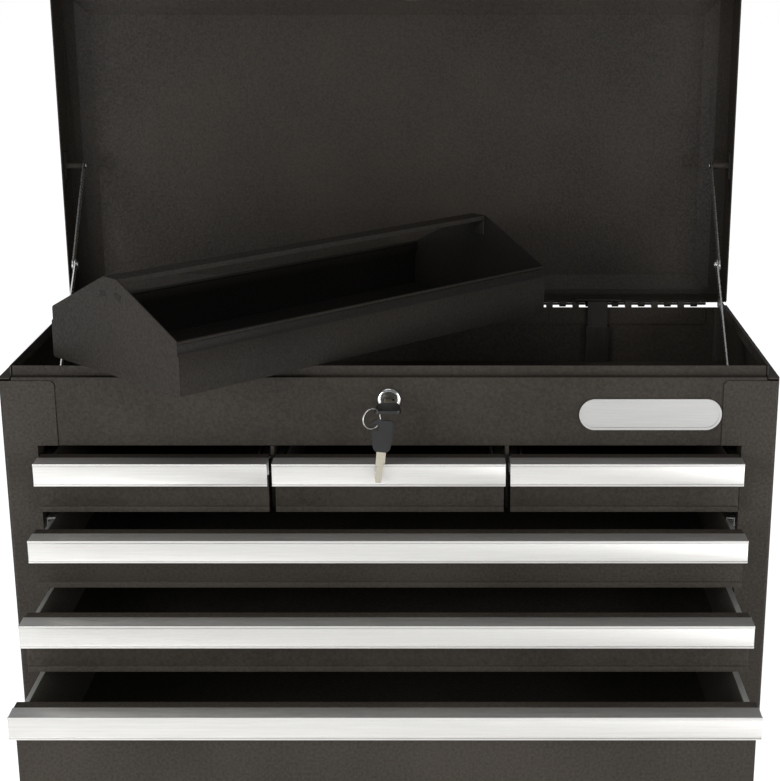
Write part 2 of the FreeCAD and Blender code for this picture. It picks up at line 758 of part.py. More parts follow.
spare_bow = rounded(spare_bow, bow_radius, along_y)
spare_blade = box(spare_x - spare_blade_width / 2, spare_x + spare_blade_width / 2,
                  spare_y - spare_blade_metal / 2, spare_y + spare_blade_metal / 2,
                  spare_top - spare_height - spare_blade_length, spare_top - spare_height + bow_radius)
spare_hole = rod(spare_pivot - Y_AXIS * overrun, spare_pivot + Y_AXIS * overrun, spare_hole_radius,
                 small_sides)
spare = joined([spare_bow, spare_blade]).cut(spare_hole)
spare.rotate(spare_pivot, Y_AXIS, spare_tilt)
keep("spare_key", spare)

# Badge: a bare oval plate with a raised rim


def stadium(length, height, y0, y1):
    """A plate with round ends, centred on the badge's place."""
    straight_half = (length - height) / 2
    z = case_height - badge_drop
    middle = box(badge_centre - straight_half, badge_centre + straight_half, y0, y1,
                 z - height / 2, z + height / 2)
    ends = [rod(V(badge_centre + side * straight_half, y0, z), V(badge_centre + side * straight_half, y1, z),
                height / 2) for side in (-1, 1)]
    return joined([middle] + ends)


plate = stadium(badge_width, badge_height, face - badge_metal, face)
rim = stadium(badge_width, badge_height, face - badge_metal - badge_rim_height, face - badge_metal)
rim = rim.cut(stadium(badge_width - 2 * badge_rim, badge_height - 2 * badge_rim,
                      face - badge_metal - badge_rim_height - overrun, face))
keep("badge_plate", joined([plate, rim]))

# Hasp behind the lid's front wall, drawn with the lid shut

hasp_front = upstand_rear + hasp_gap
hasp_back = hasp_front + hasp_metal
arm_low = case_height + upstand_height + hasp_over
foot_top = lock_z + hasp_foot_rise
leg_near = hasp_side - hasp_width / 2
leg_far = hasp_side + hasp_width / 2
hasp_leg = box(leg_near, leg_far, hasp_front, hasp_back, foot_top - hasp_foot_height, arm_low + hasp_metal)
hasp_toe = box(leg_far - hasp_foot, leg_far, hasp_front, hasp_back, foot_top - hasp_foot_height, foot_top)
hasp_arm = box(leg_near, leg_far, front_y + sheet, hasp_back, arm_low, arm_low + hasp_metal)
hasp_pad = box(hasp_side - hasp_pad_width / 2, hasp_side + hasp_pad_width / 2, front_y + sheet,
               front_y + sheet + hasp_metal, arm_low, arm_low + hasp_pad_height)
keep("lock_hasp", opened(joined([hasp_leg, hasp_toe, hasp_arm, hasp_pad])))

# Lock bar, its guide, and the striker on the lid that pushes it down

bar_top = hinge_z + bar_top_rise
bar_sides = (bar_centre - bar_width / 2, bar_centre + bar_width / 2)
bar_pieces = [box(*bar_sides, bar_front, bar_back, bar_foot, bar_top)]
closed_rear = front_y + drawer_depth
for row, top in enumerate(row_tops):
    rear_wall_top = top - back_drop
    tab_low = rear_wall_top + bar_travel + hook_clearance
    lip_back = closed_rear - drawer_sheet - hook_clearance
    hook_sides = (bar_centre - hook_width / 2, bar_centre + hook_width / 2)
    bar_pieces.append(box(*hook_sides, lip_back - hook_metal, bar_front, tab_low, tab_low + hook_metal))
    bar_pieces.append(box(*hook_sides, lip_back - hook_metal, lip_back,
                          rear_wall_top + hook_clearance, tab_low))
keep("lock_bar", joined(bar_pieces))

guide_inner = bar_width / 2 + guide_play
guide_line = [(bar_centre - guide_inner - guide_metal, back_y - sheet),
              (bar_centre - guide_inner - guide_metal, bar_front - guide_play - guide_metal),
              (bar_centre + guide_inner + guide_metal, bar_front - guide_play - guide_metal),
              (bar_centre + guide_inner + guide_metal, back_y - sheet)]
keep("bar_guide", extruded(folded(guide_line, guide_metal), "xy", floor_top, case_height - guide_drop))

leaf_top = hinge_z + barrel_radius
striker_sides = (bar_centre - striker_width / 2, bar_centre + striker_width / 2)
striker_pad = box(*striker_sides, hinge_y + striker_metal, hinge_y + striker_foot, leaf_top,
                  leaf_top + striker_metal)
striker_tongue = box(*striker_sides, hinge_y - striker_nose, hinge_y + striker_foot,
                     leaf_top + striker_metal, leaf_top + 2 * striker_metal)
keep("bar_striker", joined([striker_pad, striker_tongue]))

# Side handles: a plate with two ears and a bail that hangs in them

grip_z = case_height * grip_height_share
grip_x = half_width + grip_ear_proud - grip_wire_radius * 1.5
grip_half = grip_plate_length / 2
plate = box(half_width, half_width + grip_plate_metal, -grip_half, grip_half,
            grip_z - grip_plate_height / 2, grip_z + grip_plate_height / 2)
ears = []
ear_far = grip_half - grip_ear_end
ear_near = ear_far - grip_ear_length
for side in (-1, 1):
    ears.append(box(half_width + grip_plate_metal, half_width + grip_ear_proud,
                    side * ear_near, side * ear_far,
                    grip_z - grip_ear_height / 2, grip_z + grip_ear_height / 2))
ear_bore = rod(V(grip_x, -grip_half, grip_z), V(grip_x, grip_half, grip_z), grip_wire_radius + grip_play,
               small_sides)
grip_plate = joined([plate] + ears)
grip_plate = rounded(grip_plate, grip_plate_metal,
                     lambda edge: along_y(edge) and edge.CenterOfMass.x > half_width + grip_ear_proud - sheet)
grip_plate = grip_plate.cut(ear_bore)

leg_y = ear_near - grip_bend - grip_end_play
foot_z = grip_z - grip_drop


def bend(centre_y, centre_z, first, last):
    """The start, middle and end of a bend of the bail's middle line, between two angles."""
    turns = [math.radians(angle) for angle in (first, (first + last) / 2, last)]
    return [V(grip_x, centre_y + grip_bend * math.cos(turn), centre_z + grip_bend * math.sin(turn))
            for turn in turns]


half_line = [V(grip_x, ear_far - grip_end_play, grip_z)]
half_line += bend(leg_y + grip_bend, grip_z - grip_bend, 90, 180)
half_line += bend(leg_y - grip_bend, foot_z + grip_bend, 0, -90)
bail_line = half_line + [V(point.x, -point.y, point.z) for point in half_line[::-1]]
bail = bent_rod(bail_line, grip_wire_radius, small_sides)
for name, shape in (("grip_plate", grip_plate), ("grip_bail", bail)):
    keep(name + "_right", shape)
    keep(name + "_left", mirrored(shape))

# Carry tray: drawn square at the origin, then turned and laid across the top


def laid(shape):
    """Turn a tray piece across the chest and rest its near part on the front upstand."""
    placed = shape.copy()
    placed.rotate(V(0, 0, 0), Z_AXIS, tray_turn)
    rest = case_height + upstand_height + tray_seat_gap
    pivot = V(tray_centre_x, front_y + shoulder, rest)
    placed.translate(V(tray_centre_x, front_y + tray_centre_back, rest))
    placed.rotate(pivot, Y_AXIS, tray_bank)
    placed.rotate(pivot, X_AXIS, tray_pitch)
    return placed


half_length = tray_length / 2
half_tray = tray_width / 2
half_rim = half_tray - tray_step
lip_z = tray_wall - tray_lip_radius
step_z = tray_wall - tray_rim
trough_line = [(-half_rim, lip_z), (-half_rim, step_z), (-half_tray, step_z - tray_step), (-half_tray, 0),
               (half_tray, 0), (half_tray, step_z - tray_step), (half_rim, step_z), (half_rim, lip_z)]
trough = extruded(folded(trough_line, tray_sheet), "yz", -half_length + tray_sheet, half_length - tray_sheet)
lips = []
for side in (-1, 1):
    lip_y = side * (half_rim - tray_sheet / 2)
    lips.append(rod(V(-half_length + tray_sheet, lip_y, lip_z), V(half_length - tray_sheet, lip_y, lip_z),
                    tray_lip_radius, small_sides))
keep("tray_trough", laid(joined([trough] + lips)))

gable = [(-half_tray, 0), (half_tray, 0), (half_tray, step_z - tray_step), (half_rim, step_z),
         (half_rim, tray_wall), (ridge_width / 2, tray_peak), (-ridge_width / 2, tray_peak),
         (-half_rim, tray_wall), (-half_rim, step_z), (-half_tray, step_z - tray_step)]
end_plate = extruded(gable, "yz", -half_length, -half_length + tray_sheet)


def gable_corner(edge):
    """True for the short edges through the plate at its foot and its eaves."""
    middle = edge.CenterOfMass
    at_foot = middle.z < tray_sheet / 2 and abs(middle.y) > half_rim
    at_eaves = abs(middle.z - tray_wall) < tray_sheet / 2 and abs(middle.y) > ridge_width
    return abs(edge.Length - tray_sheet) < tray_sheet / 10 and (at_foot or at_eaves)


end_plate = rounded(end_plate, tray_corner, gable_corner)
keep("tray_end_left", laid(end_plate))
keep("tray_end_right", laid(mirrored(end_plate)))

ridge_line = [(ridge_width / 2, tray_peak - ridge_height), (ridge_width / 2, tray_peak),
              (-ridge_width / 2, tray_peak), (-ridge_width / 2, tray_peak - ridge_height)]
ridge = extruded(folded(ridge_line, ridge_sheet), "yz", -half_length + tray_sheet, half_length - tray_sheet)
tabs = []
for side in (-1, 1):
    tabs.append(box(side * (half_length - tray_sheet), side * (half_length - tray_sheet - ridge_sheet),
                    -ridge_width / 2, ridge_width / 2, tray_peak - ridge_height - ridge_tab_drop,
                    tray_peak - ridge_sheet))
keep("tray_ridge", laid(joined([ridge] + tabs)))

for name, shape in made.items():
    shape.exportStep("parts/" + name + ".step")
print(len(made), "pieces")
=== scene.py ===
# %% [markdown]
# # A machinist tool chest, dressed in Blender
# The chest itself is already modelled to size as solid parts. This lesson loads those parts as a fixed
# frame, lights them like a studio product photograph, gives every part its real finish, and adds the
# small pieces that a maker would miss if they were not there.

# %% Load the frame
import bpy
import json
import math
from mathutils import Matrix, Vector

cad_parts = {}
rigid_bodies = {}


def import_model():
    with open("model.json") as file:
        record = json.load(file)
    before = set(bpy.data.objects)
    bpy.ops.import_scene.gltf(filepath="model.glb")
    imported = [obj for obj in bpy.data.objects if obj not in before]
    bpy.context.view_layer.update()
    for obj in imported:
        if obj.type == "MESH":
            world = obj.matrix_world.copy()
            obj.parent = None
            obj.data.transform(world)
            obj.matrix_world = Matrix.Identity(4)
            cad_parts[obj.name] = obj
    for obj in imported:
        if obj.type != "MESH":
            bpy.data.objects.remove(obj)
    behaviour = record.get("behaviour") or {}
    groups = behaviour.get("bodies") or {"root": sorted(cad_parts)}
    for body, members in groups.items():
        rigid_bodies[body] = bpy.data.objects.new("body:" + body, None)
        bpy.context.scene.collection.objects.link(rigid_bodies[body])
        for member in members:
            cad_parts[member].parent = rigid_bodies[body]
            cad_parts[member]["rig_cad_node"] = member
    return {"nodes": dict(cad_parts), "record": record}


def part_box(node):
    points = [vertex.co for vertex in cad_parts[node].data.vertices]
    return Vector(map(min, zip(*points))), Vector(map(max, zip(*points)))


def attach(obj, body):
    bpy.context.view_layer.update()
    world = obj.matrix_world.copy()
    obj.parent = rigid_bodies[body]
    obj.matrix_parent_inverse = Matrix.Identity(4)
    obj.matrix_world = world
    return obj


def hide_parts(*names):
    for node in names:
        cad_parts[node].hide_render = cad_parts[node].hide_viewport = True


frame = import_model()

scene = bpy.context.scene
nodes = frame["nodes"]
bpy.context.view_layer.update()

# %% [markdown]
# ## Working by hand
# Blender's operators act on whatever is selected, and the loaded parts arrive selected. So each step first
# lets go of everything and then picks one piece. A finished piece keeps its place in its mesh, with its
# object at the origin, so that it moves with its body and its pattern stays put.

# %% Helpers for choosing and setting down
def pick_none():
    """Leave edit mode and deselect every object."""
    if bpy.context.object and bpy.context.object.mode != "OBJECT":
        bpy.ops.object.mode_set(mode="OBJECT")
    bpy.ops.object.select_all(action="DESELECT")


def pick(piece):
    """Make one object the selected and active one."""
    pick_none()
    piece.select_set(True)
    bpy.context.view_layer.objects.active = piece


def set_down(piece):
    """Put a finished piece's place into its mesh, so that its object sits at the origin."""
    pick(piece)
    bpy.ops.object.transform_apply(location=True, rotation=True, scale=True)
    return piece


# %% [markdown]
# ## A kit for finishes
# Every finish here starts from one shader with plain values. Noise that is fixed to the object then varies
# its colour, its gloss and its relief. Most of a noise lies in a narrow middle band, so each use of it
# stretches that band to the range that it needs.

# %% A small kit for node finishes
noise_low = 0.3
noise_high = 0.7


def shader_of(material):
    """The material's one shader node."""
    return material.node_tree.nodes["Principled BSDF"]


def new_finish(name, color, roughness, metallic=0.0):
    """A material with one shader, set to plain values that nodes may then vary."""
    material = bpy.data.materials.new(name)
    material.use_nodes = True
    shader = shader_of(material)
    shader.inputs["Base Color"].default_value = (*color, 1)
    shader.inputs["Roughness"].default_value = roughness
    shader.inputs["Metallic"].default_value = metallic
    return material


def add_node(material, kind, **values):
    """A node of that kind, with its sockets or settings filled in by name."""
    node = material.node_tree.nodes.new(kind)
    for name, value in values.items():
        socket = name.replace("_", " ")
        if socket in node.inputs:
            node.inputs[socket].default_value = value
        else:
            setattr(node, name, value)
    return node


def wire(material, source, target):
    """Join an output socket to an input socket."""
    material.node_tree.links.new(source, target)


def feed(material, source, socket):
    """Join an output socket to a named socket of the material's shader."""
    wire(material, source, shader_of(material).inputs[socket])


def grain(material, scale, detail=3.0, roughness=0.5, stretch=(1, 1, 1)):
    """Noise fixed to the object, with scale in grains to a metre; stretch pulls it along an axis."""
    place = add_node(material, "ShaderNodeTexCoord")
    mapping = add_node(material, "ShaderNodeMapping", Scale=stretch)
    noise = add_node(material, "ShaderNodeTexNoise", Scale=scale, Detail=detail, Roughness=roughness)
    wire(material, place.outputs["Object"], mapping.inputs["Vector"])
    wire(material, mapping.outputs["Vector"], noise.inputs["Vector"])
    return noise.outputs["Fac"]


def ramp(material, noise, dark, light, light_from=noise_high):
    """Turn noise into a colour between a dark one and a light one."""
    node = add_node(material, "ShaderNodeValToRGB")
    wire(material, noise, node.inputs["Fac"])
    for element, place, color in zip(node.color_ramp.elements, (noise_low, light_from), (dark, light)):
        element.position = place
        element.color = (*color, 1)
    return node.outputs["Color"]


def span(material, noise, new_low, new_high):
    """Stretch a noise's middle band to a new range, as for a roughness that varies a little."""
    node = add_node(material, "ShaderNodeMapRange")
    ends = {"From Min": noise_low, "From Max": noise_high, "To Min": new_low, "To Max": new_high}
    for socket, value in ends.items():
        node.inputs[socket].default_value = value
    wire(material, noise, node.inputs["Value"])
    return node.outputs["Result"]


def relief(material, noise, strength, height):
    """Bump from noise on the shader: strength is a share, height is in metres."""
    node = add_node(material, "ShaderNodeBump", Strength=strength, Distance=height)
    wire(material, noise, node.inputs["Height"])
    feed(material, node.outputs["Normal"], "Normal")


# %% [markdown]
# ## The studio
# The chest stands on a plain pale floor. A product photographer burns the floor and the backdrop out to
# white with light of their own, and keeps the lamps on the object soft. Here the floor glows only for
# the camera and for mirror-like metal, so the lamps can stay at a plain level and the object still
# throws its shadow.

# %% Floor that stays white for the camera and keeps the shadow
floor_size = 24
floor_white = 0.88
floor_roughness = 0.9
floor_lift = 0.9              # glow that the camera sees
floor_gloss = 0.6             # glow that shows in metal
bpy.ops.mesh.primitive_plane_add(size=floor_size, location=(0, 0, 0))
floor = bpy.context.object
floor.name = "floor"

floor_paint = new_finish("pale floor", (floor_white, floor_white, floor_white), floor_roughness)
rays = add_node(floor_paint, "ShaderNodeLightPath")
seen = add_node(floor_paint, "ShaderNodeMath", operation="MULTIPLY")
seen.inputs[1].default_value = floor_lift
lift = add_node(floor_paint, "ShaderNodeMath", operation="MULTIPLY_ADD")
lift.inputs[1].default_value = floor_gloss
wire(floor_paint, rays.outputs["Is Camera Ray"], seen.inputs[0])
wire(floor_paint, rays.outputs["Is Glossy Ray"], lift.inputs[0])
wire(floor_paint, seen.outputs["Value"], lift.inputs[2])
shader_of(floor_paint).inputs["Emission Color"].default_value = (1, 1, 1, 1)
feed(floor_paint, lift.outputs["Value"], "Emission Strength")
floor.data.materials.append(floor_paint)
print("floor", floor_size, "m wide")

# %% [markdown]
# The air of the studio gives a faint cool light from all round, which keeps the open drawers from going
# quite black. The camera sees plain white there instead, as the photograph's backdrop is.

# %% World light
air_color = (0.95, 0.97, 1.0, 1)
air_strength = 0.2
backdrop_strength = 1.0
world = bpy.data.worlds.new("studio air")
scene.world = world
world.use_nodes = True
air = world.node_tree
soft_air = air.nodes["Background"]
soft_air.inputs["Color"].default_value = air_color
soft_air.inputs["Strength"].default_value = air_strength
white_air = air.nodes.new("ShaderNodeBackground")
white_air.inputs["Color"].default_value = (1, 1, 1, 1)
white_air.inputs["Strength"].default_value = backdrop_strength
air_rays = air.nodes.new("ShaderNodeLightPath")
air_mix = air.nodes.new("ShaderNodeMixShader")
air.links.new(air_rays.outputs["Is Camera Ray"], air_mix.inputs["Fac"])
air.links.new(soft_air.outputs["Background"], air_mix.inputs[1])
air.links.new(white_air.outputs["Background"], air_mix.inputs[2])
air.links.new(air_mix.outputs["Shader"], air.nodes["World Output"].inputs["Surface"])
print("air strength", air_strength)

# %% [markdown]
# Two soft boxes stand low at the front corners, where they light the fronts and run along the pulls as one
# long highlight. A weaker one hangs above for the tops of the pulls. Square area lamps are the plain way to
# make them.

# %% Soft boxes
lamp_aim = Vector((0, 0, 0.35))


def soft_box(name, place, size, watts):
    """A square area lamp at a place, turned to face the chest."""
    bpy.ops.object.light_add(type="AREA", location=place)
    lamp = bpy.context.object
    lamp.name = name
    lamp.data.shape = "SQUARE"
    lamp.data.size = size
    lamp.data.energy = watts
    lamp.rotation_euler = (lamp_aim - Vector(place)).to_track_quat("-Z", "Y").to_euler()


soft_box("left soft box", (-1.25, -1.45, 0.5), size=0.9, watts=13)
soft_box("right soft box", (1.3, -1.35, 0.4), size=0.9, watts=11)
soft_box("top soft box", (-0.3, -1.0, 2.0), size=1.2, watts=4)

# %% [markdown]
# The photograph was taken from a little above, just right of the chest's middle. The camera's place, pitch
# and focal length were fitted to the edges of the case and the lid. The photograph is cropped off centre,
# and the lens shift makes up for that.

# %% Camera at the photograph's angle
picture_size = 781                      # the photograph's longer side, in pixels
picture_middle = (390, 390.5)
principal = (448, 515)                  # the pixel that the lens points at
camera_focal = 1780                     # in pixels
camera_place = (0.0498, -1.6139, 0.6968)
camera_pitch = 18.31                    # degrees below level
sensor_width = 36                       # mm
bpy.ops.object.camera_add(location=camera_place, rotation=(math.radians(90 - camera_pitch), 0, 0))
camera = bpy.context.object
camera.data.sensor_width = sensor_width
camera.data.lens = camera_focal / picture_size * sensor_width
camera.data.shift_x = (picture_middle[0] - principal[0]) / picture_size
camera.data.shift_y = (principal[1] - picture_middle[1]) / picture_size
scene.camera = camera
scene.view_settings.view_transform = "Standard"
print("lens", round(camera.data.lens, 2), "mm")
print("shift", round(camera.data.shift_x, 4), round(camera.data.shift_y, 4))

# %% [markdown]
# ## Finishes
# Most of the chest is folded steel under a textured powder coat. The powder melts into fine leathery
# pebbles a few millimetres across, so the paint is warm near-black and breaks every highlight up into
# grain. Noise gives the pebbles, a little bump makes them catch the light, and a slower noise lets the
# colour drift as it does on a real panel.

# %% Textured powder coat
powder_gloss = 0.3
fine_pebbles = 420            # to a metre
pebble_height = 0.0005
inside_pebble_height = 0.0003          # pebble height on the paints inside the drawers and the tray
pebble_share = 0.75           # of the colour's variation
drift_share = 0.25
drift_scale = 9.0
powder_light_from = 0.72
powder_roughness = 0.55
dullest, glossiest = 0.62, 0.44


def powder_coat(name, dark, light, pebbles=fine_pebbles, height=pebble_height):
    """Near-black textured paint, with its pebbles counted to a metre and their height in metres."""
    paint = new_finish(name, light, powder_roughness)
    shader_of(paint).inputs["Specular IOR Level"].default_value = powder_gloss
    fine = grain(paint, pebbles, detail=2.5, roughness=0.55)
    drift = span(paint, grain(paint, drift_scale, detail=2.0), 0.0, drift_share)
    both = add_node(paint, "ShaderNodeMath", operation="MULTIPLY_ADD")
    both.inputs[1].default_value = pebble_share
    wire(paint, fine, both.inputs[0])
    wire(paint, drift, both.inputs[2])
    feed(paint, ramp(paint, both.outputs["Value"], dark, light, powder_light_from), "Base Color")
    feed(paint, span(paint, fine, dullest, glossiest), "Roughness")
    relief(paint, fine, strength=0.55, height=height)
    return paint


case_paint = powder_coat("case powder coat", (0.032, 0.0265, 0.0205), (0.066, 0.0555, 0.044))
# The fascia's and the lid's paints are darker copies of the case's paint: their darkness is painted shade.
fascia_shaded_paint = powder_coat("fascia powder coat with painted shade", (0.026, 0.0215, 0.0165), (0.052, 0.0435, 0.0345))
lid_shaded_paint = powder_coat("lid powder coat with painted shade", (0.019, 0.0155, 0.0115), (0.040, 0.0325, 0.025))
tray_paint = powder_coat("tray powder coat", (0.014, 0.0115, 0.0085), (0.031, 0.0255, 0.0195))
# The tray's inside is painted near black: painted shade in its deep hollow.
tray_inside_painted_shade = powder_coat("painted shade inside the tray", (0.006, 0.005, 0.004), (0.014, 0.012, 0.010),
                                height=inside_pebble_height)
# The drawers' inside paint is lighter than the case's: painted light that lifts the shade deep inside them.
drawer_inside_painted_light = powder_coat("painted light inside drawers", (0.060, 0.054, 0.044), (0.100, 0.091, 0.076),
                           height=inside_pebble_height)
handle_paint = powder_coat("side handle paint", (0.020, 0.018, 0.015), (0.040, 0.036, 0.031),
                           pebbles=700, height=0.0002)
print("pebbles to a metre", fine_pebbles, "and", pebble_height, "m high")

# %% [markdown]
# The pulls are an aluminium section drawn through a die and anodised. Drawing leaves very fine lines
# along the length, so the noise that breaks up its gloss is stretched along X. The zinc of the slides is
# stretched along Y, the way they were rolled. The anodised skin and the zinc scatter some light of their
# own, so neither is pure metal.

# %% Metals
metal_dulling = 0.9           # colour in the lines, as a share of the bare metal's
line_bump = 0.25
line_depth = 0.00008


def drawn_metal(name, color, roughness, spread=0.05, stretch=(1, 1, 1), scale=900, metallic=1.0):
    """Metal with fine lines along one axis."""
    metal = new_finish(name, color, roughness, metallic)
    lines = grain(metal, scale, detail=3.0, roughness=0.6, stretch=stretch)
    dull = tuple(channel * metal_dulling for channel in color)
    feed(metal, ramp(metal, lines, dull, color), "Base Color")
    feed(metal, span(metal, lines, roughness - spread, roughness + spread), "Roughness")
    relief(metal, lines, line_bump, line_depth)
    return metal


pull_metal = drawn_metal("anodised aluminium", (0.86, 0.85, 0.82), 0.42, 0.06, (0.02, 1, 1), metallic=0.82)
slide_metal = drawn_metal("zinc-plated slide", (0.86, 0.86, 0.83), 0.40, stretch=(1, 0.03, 1), metallic=0.6)
bright_steel = drawn_metal("bright steel", (0.80, 0.80, 0.78), 0.28, scale=500)
lock_chrome = drawn_metal("lock chrome", (0.80, 0.80, 0.79), 0.12, 0.03, scale=300)
plug_steel = drawn_metal("lock plug", (0.13, 0.125, 0.115), 0.35, scale=600)
key_steel = drawn_metal("nickel silver key", (0.60, 0.56, 0.46), 0.42, scale=700)
lock_work = drawn_metal("dark zinc", (0.10, 0.095, 0.085), 0.45, 0.06, (1, 1, 0.1), 500)
badge_silver = drawn_metal("badge silver", (0.62, 0.615, 0.60), 0.42, stretch=(0.03, 1, 1))
key_black = new_finish("key plastic", (0.012, 0.012, 0.012), 0.32)
relief(key_black, grain(key_black, scale=900, detail=2.0), strength=0.15, height=0.0001)
print("finishes", len(bpy.data.materials))

# %% [markdown]
# The record names a finish slot for each part. The case, the fascia and the lid share one slot, yet each
# takes the light a little differently, so the fascia and the lid get darker copies of the case's paint:
# painted shade.

# %% Hand each finish to its parts
slot_finish = {
    "black_paint": case_paint,
    "tray_paint": tray_paint,
    "side_handle_paint": handle_paint,
    "aluminium_pull": pull_metal,
    "zinc_slide": slide_metal,
    "bright_steel": bright_steel,
    "lock_chrome": lock_chrome,
    "lock_steel": plug_steel,
    "key_black": key_black,
    "badge_silver": badge_silver,
    "zinc_lock_work": lock_work,
}
# These parts take the darker copies of the case paint, which paint in shade.
node_finish = {
    "front_fascia": fascia_shaded_paint,
    "lock_panel": fascia_shaded_paint,
    "lid_shell": lid_shaded_paint,
    "hinge_leaf_lid": lid_shaded_paint,
    "stay_head_left": lid_shaded_paint,
    "stay_head_right": lid_shaded_paint,
}
node_slot = {part["node"]: part["material_slot"] for part in frame["record"]["subparts"]}
for name, node in nodes.items():
    for slot in node.material_slots:
        slot.material = node_finish.get(name, slot_finish[node_slot[name]])
print("slots", len(slot_finish))

# %% [markdown]
# ## Easing the folded edges
# Sheet steel folded in a brake never has a knife edge, and powder rounds it further, so every fold on the
# real chest carries a thin soft highlight. Each solid part is copied, its loose triangles are merged and
# its flat faces joined up again, and a narrow bevel then rounds the hard edges. The copy stands in for
# the solid, which stays where it is, hidden.

# %% A copy with eased edges
weld = 0.000002
flat_within = 0.5             # degrees
node_body = {name: body for body, names in frame["record"]["behaviour"]["bodies"].items() for name in names}


def copied(name):
    """A copy of a solid part, free to be reshaped."""
    pick(nodes[name])
    bpy.ops.object.duplicate()
    piece = bpy.context.object
    piece.name = name + "_eased"
    del piece["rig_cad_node"]
    return piece


def merge_faces(piece):
    """Weld a copy's loose triangles and join its flat faces up again."""
    pick(piece)
    bpy.ops.object.mode_set(mode="EDIT")
    bpy.ops.mesh.select_all(action="SELECT")
    bpy.ops.mesh.remove_doubles(threshold=weld)
    bpy.ops.mesh.dissolve_limited(angle_limit=math.radians(flat_within))
    bpy.ops.object.mode_set(mode="OBJECT")


def round_edges(piece, width, soft_angle=50, hard_angle=60, segments=2):
    """Round a piece's hard edges with a narrow bevel and smooth its shallow ones."""
    pick(piece)
    bpy.ops.object.shade_smooth_by_angle(angle=math.radians(soft_angle))
    edge_bevel = piece.modifiers.new("eased edges", "BEVEL")
    edge_bevel.width = width
    edge_bevel.segments = segments
    edge_bevel.limit_method = "ANGLE"
    edge_bevel.angle_limit = math.radians(hard_angle)
    edge_bevel.harden_normals = True
    bpy.ops.object.modifier_apply(modifier=edge_bevel.name)


def eased(name, width, soft_angle=50, hard_angle=60, segments=2):
    """Stand an eased copy of a solid part in for it."""
    piece = copied(name)
    merge_faces(piece)
    round_edges(piece, width, soft_angle, hard_angle, segments)
    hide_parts(name)
    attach(piece, node_body[name])
    return piece


def both_sides(*stems):
    """The names of parts that come in a left and a right one."""
    return [stem + "_" + side for stem in stems for side in ("left", "right")]


# %% Case, hinge, stays and side plates
folded_edge = 0.0005
fitting_edge = 0.0003
case_panels = ["back_panel", "base_panel", "compartment_floor"]
for name in both_sides("side_panel") + case_panels + both_sides("divider"):
    eased(name, folded_edge)
for name in ["hinge_leaf_case", "hinge_leaf_lid", "bar_guide", "bar_striker", "lock_bar", "lock_hasp"]:
    eased(name, fitting_edge)
for name in both_sides("stay_foot", "stay_head", "stay_lower", "stay_upper"):
    eased(name, fitting_edge)
for name in both_sides("grip_plate", "grip_bail") + ["lock_barrel", "lock_plug"]:
    eased(name, folded_edge)
lid_copy = eased("lid_shell", folded_edge, soft_angle=35, hard_angle=15, segments=3)
print("lid faces", len(lid_copy.data.polygons))

# %% [markdown]
# ## Drawers
# The open drawers show their inside a little paler than their fronts: the paint there is a lighter copy,
# painted light that lifts the deep shade inside them. A second paint goes on the faces whose middle lies
# within the walls, which needs no cut in the mesh.

# %% A second finish for the faces inside
def line_inside(piece, is_inside, finish):
    """Give the inside finish to the faces whose middle passes a test, and count them."""
    piece.data.materials.append(finish)
    inner = [face for face in piece.data.polygons if is_inside(face.center)]
    for face in inner:
        face.material_index = 1
    return len(inner)


wall_margin = 0.0008          # just under a drawer's wall
front_depth = 0.0105          # just under its front's thickness


def drawer_test(low, high):
    """A test for points within a drawer's walls, behind its front and above its floor."""
    def inside(middle):
        return (low.x + wall_margin < middle.x < high.x - wall_margin
                and low.y + front_depth < middle.y < high.y - wall_margin
                and middle.z > low.z + wall_margin)
    return inside


# %% Drawers and their pulls
pull_edge = 0.0004
slide_edge = 0.0002
drawer_names = [name.removesuffix("_body") for name in nodes if name.endswith("_body")]
for drawer in drawer_names:
    body_copy = eased(drawer + "_body", folded_edge)
    line_inside(body_copy, drawer_test(*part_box(drawer + "_body")), drawer_inside_painted_light)
    eased(drawer + "_handle", pull_edge)
    eased(drawer + "_runners", slide_edge)
for name in ("rails_left", "rails_centre", "rails_right"):
    eased(name, slide_edge)
print("drawers", sorted(drawer_names))

# %% [markdown]
# ## The loose carry tray
# The tray lies across the open top, turned and tipped a little. Its parts come with the frame in that lay.
# To tell the tray's inside from its outside, the same lay is written down here as a matrix, and its inverse
# brings a point back to the tray's own axes.

# %% How the tray lies
tray_turn, tray_pitch, tray_bank = (math.radians(angle) for angle in (45.8, 1.3, 0.7))
tray_across = -0.073          # the tray's middle, from the chest's
tray_behind = 0.1221          # and behind the chest's front
tray_seat_gap = 0.0005
shoulder = 0.0085             # from the chest's front to the upstand that the tray lies on


def tray_place():
    """Where the tray lies: turned across the chest and tipped up a little at its rear and left."""
    front_low, front_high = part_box("front_fascia")
    rest = front_high.z + tray_seat_gap
    turned = (Matrix.Translation((tray_across, front_low.y + tray_behind, rest))
              @ Matrix.Rotation(tray_turn, 4, "Z"))
    to_pivot = Matrix.Translation((tray_across, front_low.y + shoulder, rest))
    bank = to_pivot @ Matrix.Rotation(tray_bank, 4, "Y") @ to_pivot.inverted()
    pitch = to_pivot @ Matrix.Rotation(tray_pitch, 4, "X") @ to_pivot.inverted()
    return pitch @ bank @ turned


tray_lay = tray_place()
to_tray = tray_lay.inverted()
corners = [to_tray @ vertex.co for vertex in nodes["tray_trough"].data.vertices]
print("tray in its own axes", [round(min(c[i] for c in corners), 4) for i in range(3)],
      [round(max(c[i] for c in corners), 4) for i in range(3)])

# %% Tray with painted shade inside
tray_edge = 0.0004
tray_half_length = 0.2178
tray_half_width = 0.0875
tray_wall = 0.0009            # just under its sheet
tray_floor = 0.0005


def inside_tray(middle):
    """True within the tray's walls and above its floor."""
    place = to_tray @ middle
    return (abs(place.x) < tray_half_length - tray_wall and abs(place.y) < tray_half_width - tray_wall
            and place.z > tray_floor)


